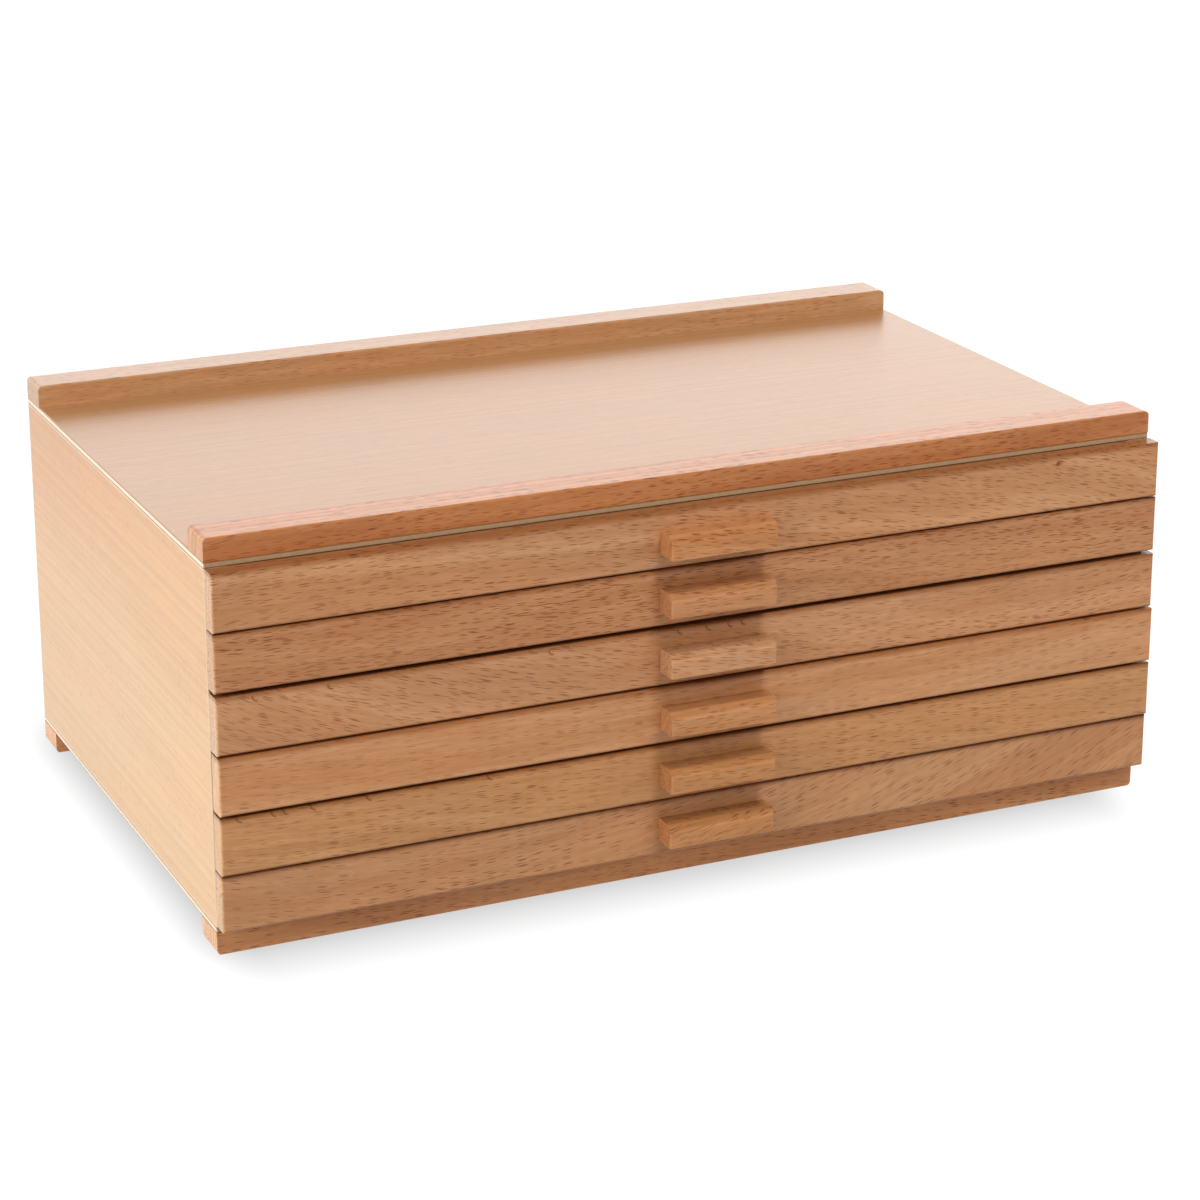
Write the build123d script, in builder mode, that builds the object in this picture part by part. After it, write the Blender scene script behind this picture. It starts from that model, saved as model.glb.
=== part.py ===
"""Table-top box of six shallow drawers for pencils and small craft tools, in beech and plywood.

Millimetres. X runs across the fronts, Y from the front to the back, Z up. The origin lies under
the middle of the whole box, pulls included, on the surface that the two feet stand on.
"""

import os

from build123d import *

# --- Case ------------------------------------------------------------------------------------
WIDTH = 400.0  # across panels, rails, feet and drawer fronts
CASE_DEPTH = 238.0  # top and bottom panels, front to back
PANEL_T = 2.5  # top and bottom panels
SIDE_T = 9.0  # side panels
BACK_T = 3.0  # back panel
BACK_REBATE = 5.0  # how far the back panel reaches into each side panel
PANEL_EDGE = 0.3  # bevelled edges of the panels

RAIL_DEPTH = 17.5  # rails along the front and rear of the top
RAIL_H = 9.0
RAIL_CORNER = 2.0  # rounded upper corners at the rail ends
FOOT_DEPTH = 17.5  # feet along the front and rear of the underside
FOOT_H = 9.0
FOOT_CORNER = 2.2  # rounded lower corners at the foot ends
BAR_EDGE = 0.7  # softened edges of rails and feet

# --- Drawers, from the top one down ----------------------------------------------------------
PITCH = 23.4  # height of the case that each drawer takes
FRONT_LIFTS = (0.8, 1.1, 0.4, 0.5, 0.2, 0.5)  # how high each front is glued, from mid-bay
DRAWERS_OPEN = (0.0, 0.0, 0.3, 1.4, 1.1, 0.0)  # how far each drawer stands out as it rests
FRONT_T = 8.2
FRONT_SPLIT = 0.8  # pitch less the height of a front
FRONT_STOP = 0.3  # front to case with the drawer pushed home
FRONT_EDGE = 1.0  # softened edges

DRAWER_SIDE_T = 9.0
DRAWER_RISE = 1.8  # underside of the drawer box above its bay
HEADROOM = 2.6  # top of the drawer box to the next bay
SIDE_GAP = 0.8  # drawer side to case side
END_SPACE = 7.0  # behind a drawer that is pushed home
DRAWER_EDGE = 0.6  # bevelled upper edges of drawer sides, back and divider

DRAWER_BOTTOM_T = 2.5
BOTTOM_RISE = 2.0  # drawer bottom above the lower edge of the sides
BOTTOM_GROOVE = 3.0  # depth of its groove in the sides and the front
DRAWER_BACK_T = 6.0
BACK_INSET = 4.0  # drawer sides run on behind the drawer back
BACK_HOUSING = 2.5  # drawer back into each side
FRONT_HOUSING = 3.0  # drawer sides into the front
DIVIDER_T = 3.0
DIVIDER_DROP = 2.0  # divider below the top of the sides
DIVIDER_HOUSING = 2.0  # divider into the front and the drawer back

# --- Runners ---------------------------------------------------------------------------------
RUNNER_H = 5.0
RUNNER_REACH = 5.0  # out of the case side
RUNNER_LET_IN = 2.0  # into the case side
RUNNER_CLEAR = 0.3  # all round, in the groove of the drawer side
RUNNER_SETBACK = 1.5  # behind the case front
RUNNER_LEAD = 1.0  # chamfer at the front end

# --- Pulls and their screws ------------------------------------------------------------------
PULL_W = 45.0
PULL_H = 9.4
PULL_REACH = 10.0
PULL_DROP = 0.7  # below the middle of the drawer front
PULL_ROUND = 3.2  # long upper edge
PULL_EDGE = 0.9  # the other edges
SCREW_D = 3.0
SCREW_HEAD_D = 6.0
SCREW_HEAD_H = 1.8
SCREW_LENGTH = 14.0  # below the head
SCREW_SPACING = 24.0
SCREW_CLEAR = 0.1  # radial, and past the tip

# --- Heights and depths that follow ----------------------------------------------------------
DRAWERS = len(FRONT_LIFTS)
side_h = DRAWERS * PITCH
side_bottom = FOOT_H + PANEL_T
side_top = side_bottom + side_h
rail_bottom = side_top + PANEL_T

overall_depth = CASE_DEPTH + FRONT_STOP + FRONT_T + PULL_REACH + max(DRAWERS_OPEN)
case_back = overall_depth / 2
case_front = case_back - CASE_DEPTH
case_mid = (case_front + case_back) / 2
side_inside = WIDTH / 2 - SIDE_T
back_inside = case_back - BACK_T
runner_length = back_inside - (case_front + RUNNER_SETBACK)

front_h = PITCH - FRONT_SPLIT
drawer_h = PITCH - DRAWER_RISE - HEADROOM
drawer_outside = side_inside - SIDE_GAP
drawer_inside = drawer_outside - DRAWER_SIDE_T
drawer_side_mid = (drawer_outside + drawer_inside) / 2
box_length = back_inside - END_SPACE - (case_front - FRONT_STOP)  # behind the front
runner_mid = DRAWER_RISE + drawer_h / 2
runner_groove_h = RUNNER_H + 2 * RUNNER_CLEAR
runner_groove_depth = RUNNER_REACH - SIDE_GAP + RUNNER_CLEAR
floor_under = DRAWER_RISE + BOTTOM_RISE
floor_top = floor_under + DRAWER_BOTTOM_T
drawer_top = DRAWER_RISE + drawer_h
divider_top = drawer_top - DIVIDER_DROP
floor_width = 2 * (drawer_inside + BOTTOM_GROOVE)
back_rear = box_length - BACK_INSET  # from the rear face of the front
back_front = back_rear - DRAWER_BACK_T
screw_hole_r = SCREW_D / 2 + SCREW_CLEAR


def bay(index):
    """Height at which a drawer's bay starts; bay 0 is the top one."""
    return side_top - (index + 1) * PITCH


def facing_front(y, z=0.0):
    """Upright plane across the box, y back and z up, that faces the front."""
    return Plane(origin=(0, y, z), x_dir=(1, 0, 0), z_dir=(0, -1, 0))


def facing_back(y, z=0.0):
    """Upright plane across the box, y back and z up, that faces the back."""
    return Plane(origin=(0, y, z), x_dir=(-1, 0, 0), z_dir=(0, 1, 0))


def keep(builder, name):
    """Labels a finished piece and writes it."""
    builder.part.label = name
    export_step(builder.part, f"parts/{name}.step")


def keep_mirrored(builder, name):
    """Writes the piece's mirror image on the other side of the box."""
    with BuildPart() as twin:
        mirror(builder.part, about=Plane.YZ)
    keep(twin, name)


# --- The case --------------------------------------------------------------------------------
def case_panel(bottom, name):
    with BuildPart() as panel:
        with BuildSketch(Plane.XY.offset(bottom)):
            with Locations((0, case_mid)):
                Rectangle(WIDTH, CASE_DEPTH)
        extrude(amount=PANEL_T)
        chamfer(panel.edges(), PANEL_EDGE)
    keep(panel, name)


def case_sides():
    with BuildPart() as side:
        with BuildSketch(Plane.XY.offset(side_bottom)):
            with Locations((WIDTH / 2, case_back)):
                Rectangle(SIDE_T, CASE_DEPTH, align=(Align.MAX, Align.MAX))
            with Locations((side_inside, case_back)):
                Rectangle(BACK_REBATE, BACK_T, align=(Align.MIN, Align.MAX), mode=Mode.SUBTRACT)
        extrude(amount=side_h)
        outer = side.faces().sort_by(Axis.X)[-1]
        chamfer(outer.edges().filter_by(Axis.Z), PANEL_EDGE)
        with BuildSketch(Plane.YZ.offset(side_inside)):
            for index in range(DRAWERS):
                with Locations((back_inside, bay(index) + runner_mid)):
                    Rectangle(runner_length, RUNNER_H, align=(Align.MAX, Align.CENTER))
        extrude(amount=RUNNER_LET_IN, mode=Mode.SUBTRACT)
    keep(side, "case_side_right")
    keep_mirrored(side, "case_side_left")


def back_panel():
    with BuildPart() as back:
        with BuildSketch(facing_back(back_inside, side_bottom)):
            Rectangle(2 * (side_inside + BACK_REBATE), side_h, align=(Align.CENTER, Align.MIN))
        extrude(amount=BACK_T)
    keep(back, "back_panel")


def bar(front, depth, bottom, height, free_side, corner, name):
    """A rail or foot across the box; only its free side, upper or lower, is rounded."""
    with BuildPart() as strip:
        with BuildSketch(Plane.YZ) as section:
            with Locations((front, bottom)):
                Rectangle(depth, height, align=(Align.MIN, Align.MIN))
            fillet(section.vertices().group_by(Axis.Y)[free_side], BAR_EDGE)
        extrude(amount=WIDTH / 2, both=True)
        with BuildSketch(facing_front(front, bottom)) as elevation:
            Rectangle(WIDTH, height, align=(Align.CENTER, Align.MIN))
            fillet(elevation.vertices().group_by(Axis.Y)[free_side], corner)
        extrude(amount=-depth, mode=Mode.INTERSECT)
    keep(strip, name)


def rails_and_feet():
    lower, upper = 0, -1
    rear_rail, rear_foot = case_back - RAIL_DEPTH, case_back - FOOT_DEPTH
    bar(case_front, RAIL_DEPTH, rail_bottom, RAIL_H, upper, RAIL_CORNER, "top_front_rail")
    bar(rear_rail, RAIL_DEPTH, rail_bottom, RAIL_H, upper, RAIL_CORNER, "top_rear_rail")
    bar(case_front, FOOT_DEPTH, 0, FOOT_H, lower, FOOT_CORNER, "front_foot")
    bar(rear_foot, FOOT_DEPTH, 0, FOOT_H, lower, FOOT_CORNER, "rear_foot")


def runners():
    """The strips that the drawers slide on, glued into the grooves of the case sides."""
    with BuildPart() as strips:
        with BuildSketch(Plane.YZ.offset(side_inside - RUNNER_REACH)):
            for index in range(DRAWERS):
                with Locations((back_inside, bay(index) + runner_mid)):
                    Rectangle(runner_length, RUNNER_H, align=(Align.MAX, Align.CENTER))
        extrude(amount=RUNNER_REACH + RUNNER_LET_IN)
        lead_edges = strips.edges().filter_by(Axis.Z).group_by(Axis.Y)[0].group_by(Axis.X)[0]
        chamfer(lead_edges, RUNNER_LEAD)
    keep(strips, "runners_right")
    keep_mirrored(strips, "runners_left")


# --- A drawer: home is the rear face of its front, base the height of its bay ------------------
def drawer_front(home, base, lift, pull_mid, name):
    """The front, with housings in its rear face for the sides, the bottom and the divider."""
    rear_face = facing_front(home, base)
    front_bottom = base + FRONT_SPLIT / 2 + lift
    with BuildPart() as front:
        with BuildSketch(Plane.YZ) as section:
            with Locations((home, front_bottom)):
                Rectangle(FRONT_T, front_h, align=(Align.MAX, Align.MIN))
            fillet(section.vertices(), FRONT_EDGE)
        extrude(amount=WIDTH / 2, both=True)
        with BuildSketch(Plane.XY.offset(front_bottom)) as plan:
            with Locations((0, home)):
                Rectangle(WIDTH, FRONT_T, align=(Align.CENTER, Align.MAX))
            fillet(plan.vertices().group_by(Axis.Y)[0], FRONT_EDGE)
        extrude(amount=front_h, mode=Mode.INTERSECT)
        with BuildSketch(rear_face):
            with Locations((-drawer_side_mid, runner_mid), (drawer_side_mid, runner_mid)):
                Rectangle(DRAWER_SIDE_T, drawer_h)
        extrude(amount=FRONT_HOUSING, mode=Mode.SUBTRACT)
        with BuildSketch(rear_face):
            with Locations((0, floor_under)):
                Rectangle(floor_width, DRAWER_BOTTOM_T, align=(Align.CENTER, Align.MIN))
        extrude(amount=BOTTOM_GROOVE, mode=Mode.SUBTRACT)
        with BuildSketch(rear_face):
            with Locations((0, floor_top)):
                Rectangle(DIVIDER_T, divider_top - floor_top, align=(Align.CENTER, Align.MIN))
        extrude(amount=DIVIDER_HOUSING, mode=Mode.SUBTRACT)
        with Locations(facing_back(home, pull_mid)):
            with GridLocations(SCREW_SPACING, 0, 2, 1):
                Hole(screw_hole_r)
    keep(front, f"{name}_front")


def drawer_pull(home, middle, name):
    """The grip, well rounded above, with two blind holes for its screws."""
    seat = home - FRONT_T
    with BuildPart() as grip:
        with BuildSketch(Plane.YZ) as section:
            with Locations((seat, middle)):
                Rectangle(PULL_REACH, PULL_H, align=(Align.MAX, Align.CENTER))
            lower_nose, upper_nose = section.vertices().group_by(Axis.X)[0].sort_by(Axis.Y)
            fillet(upper_nose, PULL_ROUND)
            fillet(lower_nose, PULL_EDGE)
        extrude(amount=PULL_W / 2, both=True)
        with BuildSketch(Plane.XY.offset(middle)) as plan:
            with Locations((0, seat)):
                Rectangle(PULL_W, PULL_REACH, align=(Align.CENTER, Align.MAX))
            fillet(plan.vertices().group_by(Axis.Y)[0], PULL_EDGE)
        extrude(amount=PULL_H / 2, both=True, mode=Mode.INTERSECT)
        with Locations(facing_back(seat, middle)):
            with GridLocations(SCREW_SPACING, 0, 2, 1):
                Hole(screw_hole_r, depth=SCREW_LENGTH - FRONT_T + SCREW_CLEAR)
    keep(grip, f"{name}_pull")


def pull_screws(home, middle, name):
    """Two pan-head screws, driven from inside the drawer."""
    shank, head = SCREW_D / 2, SCREW_HEAD_D / 2
    with BuildPart() as screws:
        for x in (-SCREW_SPACING / 2, SCREW_SPACING / 2):
            with BuildSketch(Plane(origin=(x, home, middle), x_dir=(1, 0, 0), z_dir=(0, 0, 1))):
                with BuildLine():
                    Polyline(
                        (0, SCREW_HEAD_H), (head, SCREW_HEAD_H), (head, 0), (shank, 0),
                        (shank, -SCREW_LENGTH), (0, -SCREW_LENGTH), close=True,
                    )
                make_face()
            revolve(axis=Axis((x, home, middle), (0, 1, 0)))
    keep(screws, f"{name}_pull_screws")


def drawer_sides(home, base, name):
    """The sides, grooved outside for the runner and inside for the bottom and the back."""
    with BuildPart() as side:
        with BuildSketch(facing_front(home + box_length, base)) as section:
            with Locations((drawer_inside, DRAWER_RISE)):
                Rectangle(DRAWER_SIDE_T, drawer_h, align=(Align.MIN, Align.MIN))
            chamfer(section.vertices().group_by(Axis.Y)[-1], DRAWER_EDGE)
            with Locations((drawer_outside, runner_mid)):
                Rectangle(
                    runner_groove_depth, runner_groove_h,
                    align=(Align.MAX, Align.CENTER), mode=Mode.SUBTRACT,
                )
            with Locations((drawer_inside, floor_under)):
                Rectangle(
                    BOTTOM_GROOVE, DRAWER_BOTTOM_T,
                    align=(Align.MIN, Align.MIN), mode=Mode.SUBTRACT,
                )
        extrude(amount=box_length + FRONT_HOUSING)
        with BuildSketch(Plane.XY.offset(base + floor_top)):
            with Locations((drawer_inside, home + back_rear)):
                Rectangle(BACK_HOUSING, DRAWER_BACK_T, align=(Align.MIN, Align.MAX))
        extrude(amount=drawer_top - floor_top, mode=Mode.SUBTRACT)
    keep(side, f"{name}_side_right")
    keep_mirrored(side, f"{name}_side_left")


def drawer_bottom(home, base, name):
    """Plywood, slid in from behind below the drawer back."""
    with BuildPart() as floor:
        with BuildSketch(Plane.XY.offset(base + floor_under)):
            with Locations((0, home - BOTTOM_GROOVE)):
                Rectangle(
                    floor_width, box_length + BOTTOM_GROOVE, align=(Align.CENTER, Align.MIN)
                )
        extrude(amount=DRAWER_BOTTOM_T)
    keep(floor, f"{name}_bottom")


def drawer_back(home, base, name):
    """The back, housed in both sides and standing on the bottom."""
    with BuildPart() as back:
        with BuildSketch(Plane.YZ) as section:
            with Locations((home + back_rear, base + floor_top)):
                Rectangle(DRAWER_BACK_T, drawer_top - floor_top, align=(Align.MAX, Align.MIN))
            chamfer(section.vertices().group_by(Axis.Y)[-1], DRAWER_EDGE)
        extrude(amount=drawer_inside + BACK_HOUSING, both=True)
        with BuildSketch(facing_front(home + back_front, base)):
            with Locations((0, floor_top)):
                Rectangle(DIVIDER_T, divider_top - floor_top, align=(Align.CENTER, Align.MIN))
        extrude(amount=-DIVIDER_HOUSING, mode=Mode.SUBTRACT)
    keep(back, f"{name}_back")


def drawer_divider(home, base, name):
    """A thin board from front to back that makes two compartments."""
    with BuildPart() as board:
        with BuildSketch(facing_front(home - DIVIDER_HOUSING, base)) as section:
            with Locations((0, floor_top)):
                Rectangle(DIVIDER_T, divider_top - floor_top, align=(Align.CENTER, Align.MIN))
            chamfer(section.vertices().group_by(Axis.Y)[-1], DRAWER_EDGE)
        extrude(amount=-(back_front + 2 * DIVIDER_HOUSING))
    keep(board, f"{name}_divider")


def drawer(index, lift, stands_open):
    name = f"drawer_{index + 1}"
    home = case_front - FRONT_STOP - stands_open
    base = bay(index)
    pull_mid = base + PITCH / 2 + lift - PULL_DROP
    drawer_front(home, base, lift, pull_mid, name)
    drawer_pull(home, pull_mid, name)
    pull_screws(home, pull_mid, name)
    drawer_sides(home, base, name)
    drawer_bottom(home, base, name)
    drawer_back(home, base, name)
    drawer_divider(home, base, name)


os.makedirs("parts", exist_ok=True)
case_panel(FOOT_H, "bottom_panel")
case_panel(side_top, "top_panel")
case_sides()
back_panel()
rails_and_feet()
runners()
for number, (front_lift, stands_open) in enumerate(zip(FRONT_LIFTS, DRAWERS_OPEN)):
    drawer(number, front_lift, stands_open)
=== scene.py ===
"""Looks of the pencil drawer box: beech, veneer and plywood materials, floor, light and camera.

Metres, in the frame of the CAD model. The box stands on z = 0 with its drawer fronts towards -Y.
"""
from math import cos, radians, sin, tan

import bpy
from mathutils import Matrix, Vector


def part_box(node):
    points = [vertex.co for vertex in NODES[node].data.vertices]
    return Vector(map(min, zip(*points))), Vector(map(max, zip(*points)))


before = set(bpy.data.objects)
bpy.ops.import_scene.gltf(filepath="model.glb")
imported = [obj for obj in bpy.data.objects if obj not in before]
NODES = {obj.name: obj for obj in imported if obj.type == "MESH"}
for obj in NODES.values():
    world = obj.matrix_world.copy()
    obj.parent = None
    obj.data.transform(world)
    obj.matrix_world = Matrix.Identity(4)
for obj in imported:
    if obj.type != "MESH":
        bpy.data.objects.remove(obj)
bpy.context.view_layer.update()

DRAWERS = [f"drawer_{number}" for number in range(1, 7)]  # from the top down
MM = 0.001


# --- Node trees --------------------------------------------------------------------------------
class Graph:
    """A node tree that is built one node at a time."""

    def __init__(self, tree):
        self.tree = tree
        tree.nodes.clear()

    def add(self, kind, inputs=None, **settings):
        """Adds a node. inputs maps a socket's name or number to a value or another's socket."""
        node = self.tree.nodes.new(kind)
        for key, value in settings.items():
            setattr(node, key, value)
        for key, value in (inputs or {}).items():
            if isinstance(value, bpy.types.NodeSocket):
                self.tree.links.new(value, node.inputs[key])
            else:
                node.inputs[key].default_value = value
        return node

    def math(self, operation, first, second=0.0, third=0.0):
        inputs = {0: first, 1: second, 2: third}
        return self.add("ShaderNodeMath", inputs, operation=operation).outputs[0]

    def vector(self, operation, first, second=(0.0, 0.0, 0.0)):
        inputs = {0: first, 1: second}
        return self.add("ShaderNodeVectorMath", inputs, operation=operation).outputs[0]

    def length(self, vector):
        node = self.add("ShaderNodeVectorMath", {0: vector}, operation="LENGTH")
        return node.outputs["Value"]

    def join(self, **parts):
        """A vector from its named parts, with 0 for each part that is left out."""
        return self.add("ShaderNodeCombineXYZ", parts).outputs[0]

    def parts(self, vector):
        return self.add("ShaderNodeSeparateXYZ", {0: vector}).outputs

    def place(self):
        """Where a point is in the frame of the CAD model."""
        return self.add("ShaderNodeTexCoord").outputs["Object"]

    def normal(self):
        return self.add("ShaderNodeTexCoord").outputs["Normal"]

    def between(self, value, low, high, start=0.0, end=1.0):
        """Maps value from low..high to start..end with soft ends, and holds it there outside."""
        node = self.add(
            "ShaderNodeMapRange",
            {"Value": value, "From Min": low, "From Max": high, "To Min": start, "To Max": end},
            interpolation_type="SMOOTHSTEP",
        )
        return node.outputs[0]

    def noise(self, vector, stretch, detail=2.0, roughness=0.5):
        """Fractal noise with stretch blotches to the metre along each axis."""
        place = self.vector("MULTIPLY", vector, stretch)
        inputs = {"Vector": place, "Scale": 1.0, "Detail": detail, "Roughness": roughness}
        return self.add("ShaderNodeTexNoise", inputs).outputs["Fac"]

    def layers(self, depth):
        """Noise that changes along one number only, about once for each unit of it."""
        inputs = {"W": depth, "Scale": 1.0, "Detail": 2.0}
        return self.add("ShaderNodeTexNoise", inputs, noise_dimensions="1D").outputs["Fac"]

    def cells(self, vector, stretch):
        """Distance to the nearest of scattered points, and a random number for each point."""
        place = self.vector("MULTIPLY", vector, stretch)
        node = self.add("ShaderNodeTexVoronoi", {"Vector": place, "Scale": 1.0})
        chance = self.add("ShaderNodeSeparateColor", {0: node.outputs["Color"]}).outputs[0]
        return node.outputs["Distance"], chance

    def mix(self, factor, first, second, blend="MIX"):
        inputs = {0: factor, 6: first, 7: second}
        return self.add("ShaderNodeMix", inputs, data_type="RGBA", blend_type=blend).outputs[2]

    def tint(self, factor, tone, colour):
        """Multiplies tone by colour as far as factor says."""
        return self.mix(factor, tone, colour, "MULTIPLY")

    def finish(self, colour, roughness, height, depth, **constants):
        """Ends a material in a Principled shader whose bump is depth metres at height 1."""
        relief = {"Height": height, "Strength": 1.0, "Distance": depth}
        bump = self.add("ShaderNodeBump", relief).outputs[0]
        inputs = {"Base Color": colour, "Roughness": roughness, "Normal": bump, **constants}
        shader = self.add("ShaderNodeBsdfPrincipled", inputs)
        self.add("ShaderNodeOutputMaterial", {"Surface": shader.outputs[0]})


def new_material(name):
    material = bpy.data.materials.new(name)
    material.use_nodes = True
    return material, Graph(material.node_tree)


def rgb(red, green, blue):
    """A colour given as it looks on screen, 0 to 255, in the linear values that shaders use."""
    def linear(value):
        share = value / 255
        return share / 12.92 if share <= 0.04045 else ((share + 0.055) / 1.055) ** 2.4
    return (linear(red), linear(green), linear(blue), 1.0)


def wear(material, *nodes):
    """Gives CAD nodes a material."""
    for node in nodes:
        slots = NODES[node].data.materials
        slots.clear()
        slots.append(material)


# --- Wood --------------------------------------------------------------------------------------
LACQUER = {  # a thin satin coat that shines only at a glancing angle
    "IOR": 1.25, "Coat Weight": 1.0, "Coat IOR": 1.25, "Coat Roughness": 0.28,
}
THICK_LACQUER = {**LACQUER, "IOR": 1.4, "Coat IOR": 1.4}  # shines more, on the side panels

SEED_STEP = (0.731, 0.317, 0.193)  # metres between the parts of the tree that two seeds pick
SWAY = 0.0024  # metres that the grain wanders across the board
RING_SWELL = 0.011  # metres that the rings bulge
RINGS = 360  # to the metre
FLECKS = (150, 1900, 360)  # how many fit in a metre along the grain, across it and inwards
FLECK = (0.42, 0.25, 0.15, 1)
MOTTLE = (1.05, 1.0, 0.95, 1)  # warmer blotches
LINE_STEP = (0.08, 0.11, 0.16)  # how much darker a line of the fibre is than the wood beside it
LINE_ABOVE, LINE_BELOW = 0.17, -0.83  # the shares of that step on either side of the plain tone
MOST_NOISE = (0.3, 0.7)  # nearly all of a noise lies between these
CRISP = (0.36, 0.64)  # cuts a noise more sharply into two
FIBRE_RELIEF = 0.6  # where the pits of the flecks count as 1


def board_space(graph, along, facing, seed, turn=0.0, slope=0.0, bow=0.0):
    """Wood coordinates in metres: X along the grain, Y across it, Z through the growth rings.

    facing is the axis that the rings are stacked on. turn rolls the rings round the grain and
    slope tilts the grain across the board, both in degrees. bow is how much steeper it gets for
    each metre along the board.
    """
    place = graph.parts(graph.place())
    across = ({"X", "Y", "Z"} - {along, facing}).pop()
    steepness = graph.math("MULTIPLY_ADD", place[along], bow, tan(radians(slope)))
    lean = graph.math("MULTIPLY", place[along], steepness)
    level = graph.math("SUBTRACT", place[across], lean)
    turned = {
        "Vector": graph.join(X=place[along], Y=level, Z=place[facing]),
        "Location": [step * seed for step in SEED_STEP],
        "Rotation": (radians(turn), 0.0, 0.0),
    }
    straight = graph.add("ShaderNodeMapping", turned).outputs[0]
    sway = graph.math("MULTIPLY", graph.noise(straight, (25, 60, 60), detail=1), SWAY)
    return graph.vector("ADD", straight, graph.join(Y=sway))


def wood_tone(graph, grain, light, dark, fleck, crowding=0.5, figure=1.0, contrast=1.0):
    """Colour of beech, with its fibre and flecks as separate masks for bump and gloss.

    light and dark are the tones of the growth rings, which figure bends. fleck is how dark the
    flecks are, crowding how many of them there are and contrast how strongly the fibre shows.
    """
    swell = graph.noise(grain, (4, 26, 26), detail=1)
    depth = graph.math("MULTIPLY_ADD", swell, RING_SWELL * figure, graph.parts(grain)["Z"])
    rings = graph.layers(graph.math("MULTIPLY", depth, RINGS))
    mottle = graph.noise(grain, (14, 45, 45), detail=3)
    fibre = graph.noise(grain, (130, 1700, 1700), detail=2, roughness=0.6)
    streak = graph.noise(grain, (45, 480, 480), detail=2)

    spot, chance = graph.cells(grain, FLECKS)
    crowd = graph.between(graph.noise(grain, (12, 50, 30), detail=1), 0.3, 0.6, 0.6, 1.0)
    kept = graph.between(chance, 0.7 - crowding, 1.1 - crowding)
    size = graph.between(spot, 0.22, 0.40, 1.0, 0.0)
    flecks = graph.math("MULTIPLY", graph.math("MULTIPLY", size, kept), crowd)

    pale, deep = (
        (*(1 + contrast * share * step for step in LINE_STEP), 1)
        for share in (LINE_ABOVE, LINE_BELOW)
    )
    tone = graph.mix(graph.between(rings, *CRISP), light, dark)
    tone = graph.tint(graph.between(mottle, 0.35, 0.65), tone, MOTTLE)
    for lines in (streak, fibre):
        tone = graph.tint(1.0, tone, graph.mix(graph.between(lines, *CRISP), pale, deep))
    tone = graph.tint(graph.math("MULTIPLY", flecks, fleck), tone, FLECK)
    return tone, fibre, flecks


def arris(graph, node, reach=0.9 * MM):
    """How near a point of a box-shaped node is to one of its edges, 1 on the edge itself."""
    low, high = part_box(node)
    off_centre = graph.vector("SUBTRACT", graph.place(), (low + high) / 2)
    inset = graph.vector("SUBTRACT", (high - low) / 2, graph.vector("ABSOLUTE", off_centre))
    first, second, third = graph.parts(inset)
    small = graph.math("MINIMUM", first, second)
    large = graph.math("MAXIMUM", first, second)
    middle = graph.math("MAXIMUM", small, graph.math("MINIMUM", large, third))  # 0 on an edge
    return graph.between(middle, 0.2 * reach, reach, 1.0, 0.0)


def facing_along(graph, axis):
    """1 on faces that look along axis, either way, and 0 on the others."""
    normal = graph.vector("ABSOLUTE", graph.normal())
    return graph.between(graph.parts(normal)[axis], 0.55, 0.85)


def facing_up(graph):
    """1 on faces that look up, less where an edge rounds over, and 0 on the others."""
    return graph.between(graph.parts(graph.normal())["Z"], 0.15, 0.6)


# --- Solid beech -------------------------------------------------------------------------------
PAINTED_UP_SHADE = (0.76, 0.74, 0.72, 1)  # painted shade that darkens every face that looks up
PALE_END = (1.16, 1.42, 1.62, 1)  # end grain is paler and less red
PALE_ARRIS_WEAR_AND_HIGHLIGHT = (1.20, 1.24, 1.28, 1)  # edges made paler, for wear and as a painted highlight along them


def beech_board(
    node, light, dark, seed, along="X", facing="Y", turn=0.0, slope=0.0, bow=0.0,
    fleck=0.8, crowding=0.5, wear_and_highlight=0.3, painted_up_shade=PAINTED_UP_SHADE, end_tone=PALE_END, marks=(),
):
    """Solid beech for one CAD node: rings, fibre, short ray flecks, end grain, paler edges and a
    painted shade on what looks up.

    One argument sets how pale the edges are, for wear and a painted highlight along them, and one
    the painted shade on what looks up; end_tone tints the end grain.
    Each of marks is a function that adds one more thing to the tone.
    """
    material, graph = new_material(f"beech_{node}")
    grain = board_space(graph, along, facing, seed, turn, slope, bow)
    tone, fibre, flecks = wood_tone(graph, grain, light, dark, fleck, crowding)
    tone = graph.tint(facing_along(graph, along), tone, end_tone)
    # painted shade: darker on every face that looks up
    tone = graph.tint(facing_up(graph), tone, painted_up_shade)
    # paler edges: wear, with a painted highlight along them
    patchy = graph.between(graph.noise(grain, (60, 60, 60), detail=2), 0.3, 0.6, 0.3, 1.0)
    edge = graph.math("MULTIPLY", graph.math("MULTIPLY", arris(graph, node), patchy), wear_and_highlight)
    tone = graph.tint(edge, tone, PALE_ARRIS_WEAR_AND_HIGHLIGHT)
    for mark in marks:
        tone = mark(graph, tone, node)
    height = graph.math("SUBTRACT", graph.math("MULTIPLY", fibre, FIBRE_RELIEF), flecks)
    roughness = graph.between(fibre, *MOST_NOISE, 0.45, 0.58)
    graph.finish(tone, roughness, height, depth=0.02 * MM, **LACQUER)
    wear(material, node)


# --- Marks on the drawer fronts ----------------------------------------------------------------
GAP_SHADE = (0.54, 0.42, 0.31, 1)  # at a front's top edge
GAP_REACH = 2.5 * MM  # how far below the edge it fades out

KNOT_RAGGED = 1.6 * MM  # the width of the band that its outline strays in
KNOT_SPOTS = (  # centre and radius in x and z, and colour, of the ring and of the core
    ((0.1532, 0.1498), (2.6 * MM, 1.8 * MM), (0.74, 0.60, 0.48, 1)),
    ((0.1526, 0.1494), (1.3 * MM, 1.1 * MM), (0.40, 0.24, 0.15, 1)),
)

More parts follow.
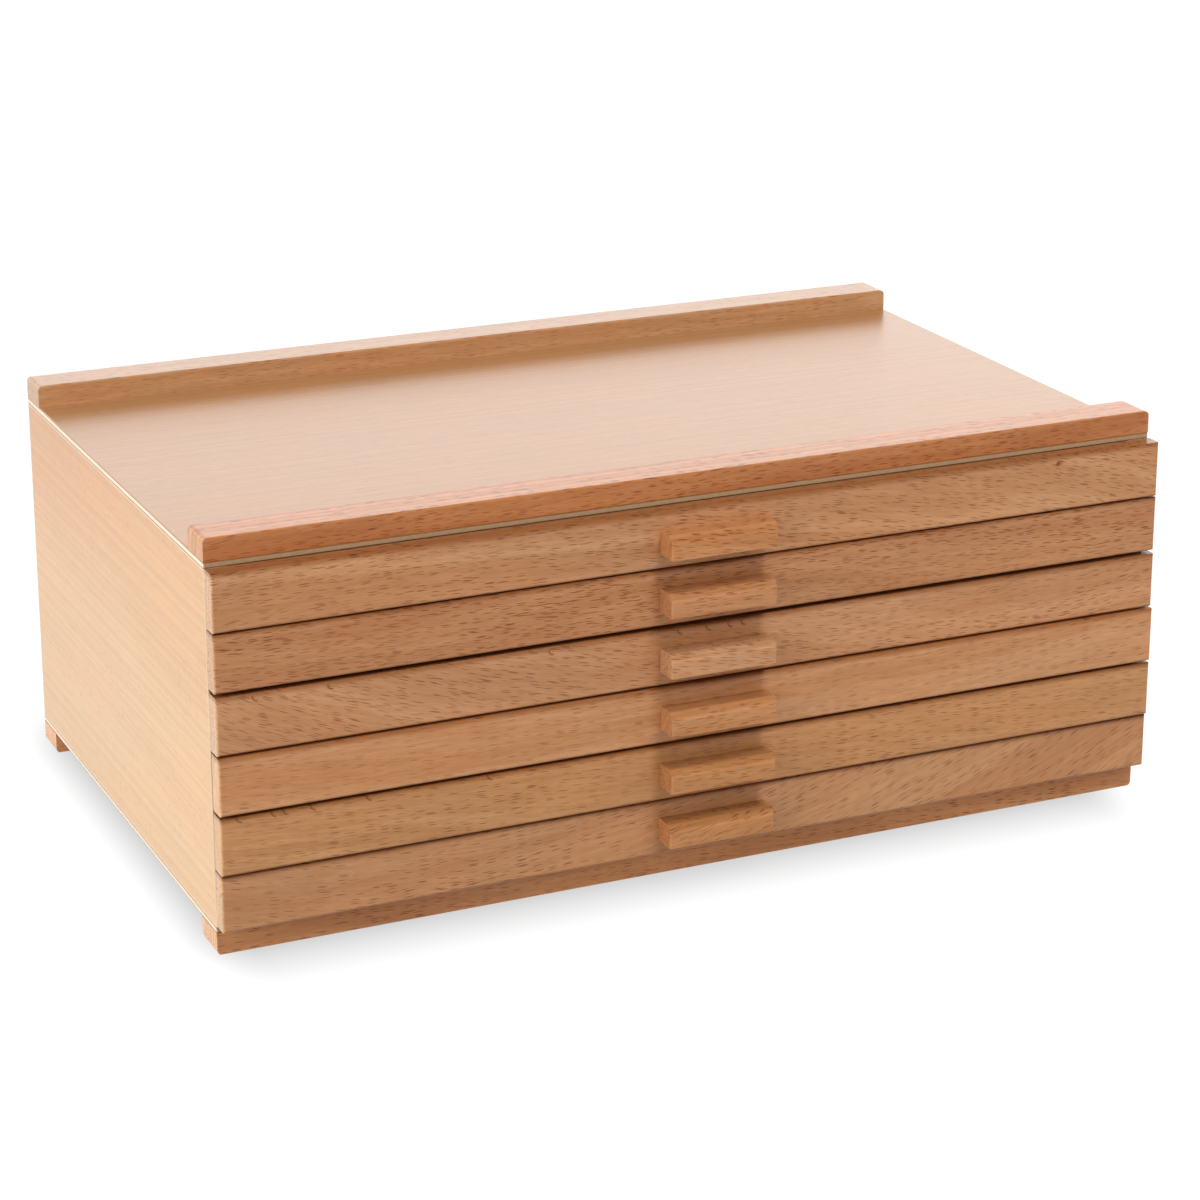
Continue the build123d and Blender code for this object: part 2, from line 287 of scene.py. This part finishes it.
TEAR_REACH = 1.8 * MM  # the radius of a curl
TEAR_TONE = (0.60, 0.42, 0.30, 1)
TEAR_LINE = (0.05, 0.34)  # in radii off the curl's line, where its colour starts to fade and ends
TEAR_QUARTER = (-0.05, 0.25)  # only the lower left quarter of the circle shows


def gap_shade(graph, tone, node):
    """The soft shade on a drawer front just below the gap above it."""
    below = graph.math("SUBTRACT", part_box(node)[1].z, graph.parts(graph.place())["Z"])
    return graph.tint(graph.between(below, 0.0, GAP_REACH, 1.0, 0.0), tone, GAP_SHADE)


def from_centre(graph, parts, centre, radius):
    """How far a point is from centre to the right and up, both in radii."""
    return [
        graph.math("DIVIDE", graph.math("SUBTRACT", parts[axis], middle), reach)
        for axis, middle, reach in zip(("X", "Z"), centre, radius)
    ]


def knot(graph, tone, node):
    """The pin knot near the right end of the top drawer's front."""
    place = graph.place()
    roughened = graph.noise(place, (900, 900, 900))
    ragged = graph.math("MULTIPLY_ADD", roughened, KNOT_RAGGED, -KNOT_RAGGED / 2)
    parts = graph.parts(graph.vector("ADD", place, graph.join(X=ragged, Z=ragged)))
    for centre, radius, colour in KNOT_SPOTS:
        right, up = from_centre(graph, parts, centre, radius)
        off_centre = graph.length(graph.join(X=right, Y=up))
        tone = graph.tint(graph.between(off_centre, 0.3, 1.0, 1.0, 0.0), tone, colour)
    return tone


def tear_out(level, *spots):
    """Makes the mark of small dark curls that a planer left at a height, one at each x."""
    def mark(graph, tone, node):
        parts = graph.parts(graph.place())
        mask = 0.0
        for spot in spots:
            right, up = from_centre(graph, parts, (spot, level), (TEAR_REACH, TEAR_REACH))
            radius = graph.length(graph.join(X=right, Y=up))
            off_line = graph.math("ABSOLUTE", graph.math("SUBTRACT", radius, 1.0))
            curl = graph.between(off_line, *TEAR_LINE, 1.0, 0.0)
            corner = graph.math("MAXIMUM", right, up)
            quarter = graph.between(corner, *TEAR_QUARTER, 1.0, 0.0)
            mask = graph.math("MAXIMUM", mask, graph.math("MULTIPLY", curl, quarter))
        return graph.tint(mask, tone, TEAR_TONE)
    return mark


FRONT_MARKS = {
    "drawer_1": (knot,),
    "drawer_3": (
        tear_out(0.1040, -0.1843, -0.1552, -0.0671, -0.0133, -0.0013, 0.0080, 0.0137),
    ),
    "drawer_5": (tear_out(0.0580, -0.1921, -0.1786, -0.1739, -0.1634, -0.1414, -0.0928),),
}


# --- Veneer and plywood ------------------------------------------------------------------------
FACE_VENEER = rgb(160, 117, 78), rgb(154, 111, 71)
PLY_CORE, PLY_CORE_ENDS = rgb(180, 154, 122), rgb(250, 232, 200)
PLY_GRIT = (0.88, 0.85, 0.82, 1)
GLUE = rgb(150, 98, 58)
UPPER_GLUE, LOWER_GLUE = (0.86, 0.93), (0.14, 0.06)  # where the lines start, in thicknesses

SIDE_VENEER = rgb(227, 182, 119), rgb(220, 172, 108)
SIDE_LINES = (0.96, 0.93, 0.89, 1)
SIDE_BLOTCHES = (0.97, 0.94, 0.88, 1)
SIDE_DEEPER = (0.88, 0.69, 0.42, 1)  # high up, most of all at the rear
DEEPER_HEIGHT = (0.06, 0.15)  # the span in z over which it comes in
DEEPER_DEPTH = (-0.12, 0.12)  # the span in y over which it doubles
SIDE_EDGE = rgb(240, 214, 176)

PLYWOOD = rgb(212, 178, 136), rgb(203, 167, 124)


def veneered_panel(node, seed):
    """Thin three-ply panel: fine beech veneer on its faces, plies and glue lines on its edges."""
    material, graph = new_material(f"veneer_{node}")
    grain = board_space(graph, "X", "Z", seed, turn=80)
    face, fibre, _ = wood_tone(
        graph, grain, *FACE_VENEER, fleck=0.12, crowding=0.4, figure=0.5, contrast=0.2
    )

    low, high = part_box(node)
    level = graph.between(graph.parts(graph.place())["Z"], low.z, high.z)
    glue = graph.math(
        "MAXIMUM", graph.between(level, *UPPER_GLUE), graph.between(level, *LOWER_GLUE)
    )
    core = graph.mix(facing_along(graph, "X"), PLY_CORE, PLY_CORE_ENDS)
    grit = graph.noise(grain, (900, 900, 900), detail=2)
    core = graph.tint(graph.between(grit, *MOST_NOISE), core, PLY_GRIT)
    edge = graph.mix(glue, core, GLUE)
    tone = graph.mix(facing_along(graph, "Z"), edge, face)
    roughness = graph.between(fibre, *MOST_NOISE, 0.40, 0.48)
    graph.finish(tone, roughness, fibre, depth=0.006 * MM, **LACQUER)
    wear(material, node)


def veneered_side(node, seed):
    """Side panel: straight-grained honey veneer that runs front to back, with paler edges."""
    material, graph = new_material(f"veneer_{node}")
    grain = board_space(graph, "Y", "Z", seed)
    tone, fibre, _ = wood_tone(
        graph, grain, *SIDE_VENEER, fleck=0.15, crowding=0.3, figure=0.25, contrast=0.2
    )
    fine = graph.noise(grain, (12, 1500, 1500), detail=1)
    tone = graph.tint(graph.between(fine, 0.4, 0.62), tone, SIDE_LINES)
    broad = graph.noise(grain, (6, 22, 30), detail=2)
    tone = graph.tint(graph.between(broad, 0.35, 0.65), tone, SIDE_BLOTCHES)
    place = graph.parts(graph.place())
    rear = graph.between(place["Y"], *DEEPER_DEPTH, 0.5, 1.0)
    upper = graph.math("MULTIPLY", graph.between(place["Z"], *DEEPER_HEIGHT), rear)
    tone = graph.tint(graph.math("MULTIPLY", upper, facing_along(graph, "X")), tone, SIDE_DEEPER)
    tone = graph.mix(arris(graph, node, 0.8 * MM), tone, SIDE_EDGE)
    roughness = graph.between(fibre, *MOST_NOISE, 0.42, 0.50)
    graph.finish(tone, roughness, fibre, depth=0.006 * MM, **THICK_LACQUER)
    wear(material, node)


def plywood(node, seed, along="X", facing="Z"):
    """Pale thin plywood with a broad rotary-cut figure, left without lacquer."""
    material, graph = new_material(f"plywood_{node}")
    grain = board_space(graph, along, facing, seed)
    tone, fibre, _ = wood_tone(graph, grain, *PLYWOOD, fleck=0.15, crowding=0.3, figure=1.3)
    roughness = graph.between(fibre, *MOST_NOISE, 0.5, 0.62)
    graph.finish(tone, roughness, fibre, depth=0.02 * MM)
    wear(material, node)


# --- Drawers, case and screws ------------------------------------------------------------------
FRONT_LOOKS = (
    # light and dark tone; slope, bow and turn of the grain; how dark and crowded the flecks are
    (rgb(206, 155, 112), rgb(196, 141, 97), -6.0, -0.4, 8, 0.85, 0.6),
    (rgb(200, 147, 103), rgb(188, 131, 88), -2.0, 0.0, -10, 0.95, 0.7),
    (rgb(207, 155, 113), rgb(196, 141, 98), -9.0, 0.6, 4, 0.8, 0.6),
    (rgb(211, 157, 113), rgb(203, 146, 99), 0.0, 0.1, 16, 0.65, 0.35),
    (rgb(207, 154, 105), rgb(197, 142, 93), -3.0, 0.0, -14, 0.75, 0.45),
    (rgb(207, 155, 111), rgb(196, 141, 98), 11.0, 0.9, 6, 0.95, 0.35),
)
PULL_SHADES = (  # each pull is cut from another stick than its front
    (1.00, 0.88, 0.74, 1), (1.04, 0.98, 0.92, 1), (1.06, 1.10, 1.14, 1),
    (0.97, 0.90, 0.80, 1), (0.98, 0.92, 0.84, 1), (0.96, 0.88, 0.72, 1),
)
PULL_PAINTED_UP_SHADE = (0.66, 0.64, 0.63, 1)  # painted shade on the top of a pull and its rounded front edge
PULL_END = (0.90, 0.90, 0.92, 1)  # the tint of a pull's end grain, a little darker and greyer
INSIDE = rgb(214, 172, 130), rgb(202, 156, 113)
RUNNER = rgb(206, 160, 116), rgb(194, 146, 102)
FRONT_RAIL = rgb(199, 136, 86), rgb(183, 117, 69)
REAR_RAIL = rgb(191, 146, 107), rgb(183, 137, 97)
FOOT = rgb(229, 165, 113), rgb(214, 147, 97)
ZINC = rgb(176, 176, 172), rgb(206, 204, 198)


def dress_drawers():
    for number, (drawer, look, shade) in enumerate(zip(DRAWERS, FRONT_LOOKS, PULL_SHADES), start=1):
        light, dark, slope, bow, turn, fleck, crowding = look
        beech_board(
            f"{drawer}_front", light, dark, number, turn=turn, slope=slope, bow=bow,
            fleck=fleck, crowding=crowding, marks=(*FRONT_MARKS.get(drawer, ()), gap_shade),
        )
        light_pull, dark_pull = (
            [value * share for value, share in zip(tone, shade)] for tone in (light, dark)
        )
        beech_board(
            f"{drawer}_pull", light_pull, dark_pull, number + 20, turn=2 * turn, slope=slope,
            fleck=fleck, crowding=0.65, wear_and_highlight=0.15, painted_up_shade=PULL_PAINTED_UP_SHADE, end_tone=PULL_END,
        )
        for side in ("side_left", "side_right"):
            beech_board(f"{drawer}_{side}", *INSIDE, number + 40, along="Y", facing="X")
        beech_board(f"{drawer}_back", *INSIDE, number + 60)
        plywood(f"{drawer}_bottom", number, along="Y")
        plywood(f"{drawer}_divider", number + 10, along="Y", facing="X")


def dress_case():
    beech_board("top_front_rail", *FRONT_RAIL, 31, turn=14, slope=1.0, fleck=0.85, crowding=0.6)
    beech_board("top_rear_rail", *REAR_RAIL, 32, turn=20, fleck=0.5)
    beech_board("front_foot", *FOOT, 33, turn=10, slope=-2.0, fleck=0.9)
    beech_board("rear_foot", *FOOT, 34, turn=-12)
    for strip in ("runners_left", "runners_right"):
        beech_board(strip, *RUNNER, 35, along="Y", facing="X")
    veneered_panel("top_panel", 41)
    veneered_panel("bottom_panel", 42)
    veneered_side("case_side_left", 43)
    veneered_side("case_side_right", 44)
    plywood("back_panel", 45, facing="Y")


def dress_screws():
    material, graph = new_material("zinc_screw")
    scratch = graph.noise(graph.place(), (3000, 400, 3000), detail=3)
    roughness = graph.between(scratch, *MOST_NOISE, 0.25, 0.45)
    graph.finish(graph.mix(scratch, *ZINC), roughness, scratch, depth=0.01 * MM, Metallic=1.0)
    wear(material, *(f"{drawer}_pull_screws" for drawer in DRAWERS))


# --- Floor -------------------------------------------------------------------------------------
FLOOR_SIZE = 30.0
FLOOR_TONE = 0.05  # so dark that the shadows of the lamps hardly show on it
FLOOR_GLOW = 1.02  # enough to make the open floor pure white
CONTACT_SHADE = 0.48  # how much of that light is lost under the case
CONTACT_REACH = (0.032, 0.072)  # metres that the shade thins over, along x and along y
CONTACT_INSET_LOW = Vector((0.0166, 0.023, 0.0))  # where it starts, in from the left and front
CONTACT_INSET_HIGH = Vector((0.028, 0.023, 0.0))  # and in from the right and rear


def floor():
    """White floor whose soft contact shadow hugs the footprint of the case."""
    bpy.ops.mesh.primitive_plane_add(size=FLOOR_SIZE)
    sweep = bpy.context.object
    sweep.name = "floor"
    sweep.visible_diffuse = False  # the room below the horizon gives the bounce instead
    material, graph = new_material("floor")
    low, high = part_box("bottom_panel")
    low.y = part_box("front_foot")[0].y
    low += CONTACT_INSET_LOW
    high -= CONTACT_INSET_HIGH
    off_centre = graph.vector("SUBTRACT", graph.place(), (low + high) / 2)
    past = graph.vector("SUBTRACT", graph.vector("ABSOLUTE", off_centre), (high - low) / 2)
    outside = graph.parts(graph.vector("MAXIMUM", past))
    sideways, endways = (
        graph.math("DIVIDE", outside[axis], reach) for axis, reach in zip("XY", CONTACT_REACH)
    )
    gap = graph.length(graph.join(X=sideways, Y=endways))
    shade = graph.between(gap, 0.0, 1.0, 1.0 - CONTACT_SHADE, 1.0)
    tone = graph.math("MULTIPLY", shade, FLOOR_TONE)
    matt = graph.add("ShaderNodeBsdfDiffuse", {"Color": tone})
    strength = graph.math("MULTIPLY", shade, FLOOR_GLOW)
    glow = graph.add("ShaderNodeEmission", {"Color": (1, 1, 1, 1), "Strength": strength})
    both = graph.add("ShaderNodeAddShader", {0: matt.outputs[0], 1: glow.outputs[0]})
    graph.add("ShaderNodeOutputMaterial", {"Surface": both.outputs[0]})
    sweep.data.materials.append(material)


# --- Light and camera --------------------------------------------------------------------------
BACK_GLOW = 2.07
BACK_SPAN = (0.0, 0.8)  # of a direction's y, over which that glow comes up
LEFT_GLOW = 1.2
LEFT_SPAN = (-0.3, -0.95)  # the same of its x
COVE_TOP = (0.3, 0.8)  # of its z, over which the cove fades out
HORIZON = (-0.02, 0.02)  # of its z, over which the cove starts
ROOM_GLOW = 0.25
GROUND_GLOW = 0.30
ROOM_TINT = (1.0, 0.90, 0.80, 1)  # warm light thrown back by the room

SOFTBOXES = (  # name, azimuth and elevation, distance, width and height, watts
    ("left_fill", -70, 22, 1.2, 0.8, 0.8, 6.0),
    ("right_fill", 62, 25, 0.75, 0.7, 0.5, 1.3),
    ("key", 15, 68, 2.0, 0.46, 1.4, 30.4),
)

FRAME_SIZE = 1200  # pixels, each way
FOCAL = 3341  # pixels
AZIMUTH, ELEVATION = -24.37, 17.30  # degrees, from the point that it looks at
DISTANCE = 1.408  # metres, from the same point
AIM_BEHIND_FRONT, AIM_HEIGHT = 0.130, 0.090  # where that point is
PAN, RISE = 0.0137, 0.0314  # metres that the camera then slides to the right and up
LENS_SHIFT = -0.1  # of the picture's height
SENSOR = 36.0  # millimetres


def heading(azimuth, elevation):
    """Towards an azimuth, 0 in front of the box and 90 on its right, and an elevation."""
    turn, lift = radians(azimuth), radians(elevation)
    return Vector((sin(turn) * cos(lift), -cos(turn) * cos(lift), sin(lift)))


def softbox(name, azimuth, elevation, distance, width, height, power):
    """A lamp near the box that points at the floor under its middle and fades across it.

    It gives no highlights: only the cove shines in the lacquer.
    """
    lamp = bpy.data.lights.new(name, "AREA")
    lamp.energy = power
    lamp.shape = "RECTANGLE"
    lamp.size, lamp.size_y = width, height
    light = bpy.data.objects.new(name, lamp)
    bpy.context.scene.collection.objects.link(light)
    light.visible_glossy = False
    source = heading(azimuth, elevation)
    light.location = source * distance
    light.rotation_euler = source.to_track_quat("Z", "Y").to_euler()


def studio_light():
    """A white cove that is brightest behind and to the left, and three soft lamps."""
    world = bpy.data.worlds.new("studio")
    bpy.context.scene.world = world
    world.use_nodes = True
    graph = Graph(world.node_tree)
    direction = graph.parts(graph.add("ShaderNodeTexCoord").outputs["Generated"])
    behind = graph.between(direction["Y"], *BACK_SPAN, 0.0, BACK_GLOW)
    left = graph.between(direction["X"], *LEFT_SPAN, 0.0, LEFT_GLOW)
    below_top = graph.between(direction["Z"], *COVE_TOP, 1.0, 0.0)
    above_ground = graph.between(direction["Z"], *HORIZON)
    low = graph.math("MULTIPLY", below_top, above_ground)
    wall = graph.math("MULTIPLY", graph.math("MAXIMUM", behind, left), low)
    room = graph.between(direction["Z"], *HORIZON, GROUND_GLOW, ROOM_GLOW)
    cove = graph.add("ShaderNodeBackground", {"Color": (1, 1, 1, 1), "Strength": wall})
    bounce = graph.add("ShaderNodeBackground", {"Color": ROOM_TINT, "Strength": room})
    both = graph.add("ShaderNodeAddShader", {0: cove.outputs[0], 1: bounce.outputs[0]})
    graph.add("ShaderNodeOutputWorld", {"Surface": both.outputs[0]})
    for lamp in SOFTBOXES:
        softbox(*lamp)
    bpy.context.scene.view_settings.view_transform = "Standard"


def camera():
    """Looks down at the box from its front left, as the photograph does."""
    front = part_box("top_panel")[0].y
    back = heading(AZIMUTH, ELEVATION)
    right = heading(AZIMUTH + 90, 0)
    up = back.cross(right)
    data = bpy.data.cameras.new("camera")
    data.sensor_width = SENSOR
    data.lens = FOCAL / FRAME_SIZE * SENSOR
    data.shift_y = LENS_SHIFT
    view = bpy.data.objects.new("camera", data)
    bpy.context.scene.collection.objects.link(view)
    aim = Vector((0.0, front + AIM_BEHIND_FRONT, AIM_HEIGHT))
    view.location = aim + back * DISTANCE + right * PAN + up * RISE
    view.rotation_euler = back.to_track_quat("Z", "Y").to_euler()
    bpy.context.scene.camera = view


dress_drawers()
dress_case()
dress_screws()
floor()
studio_light()
camera()
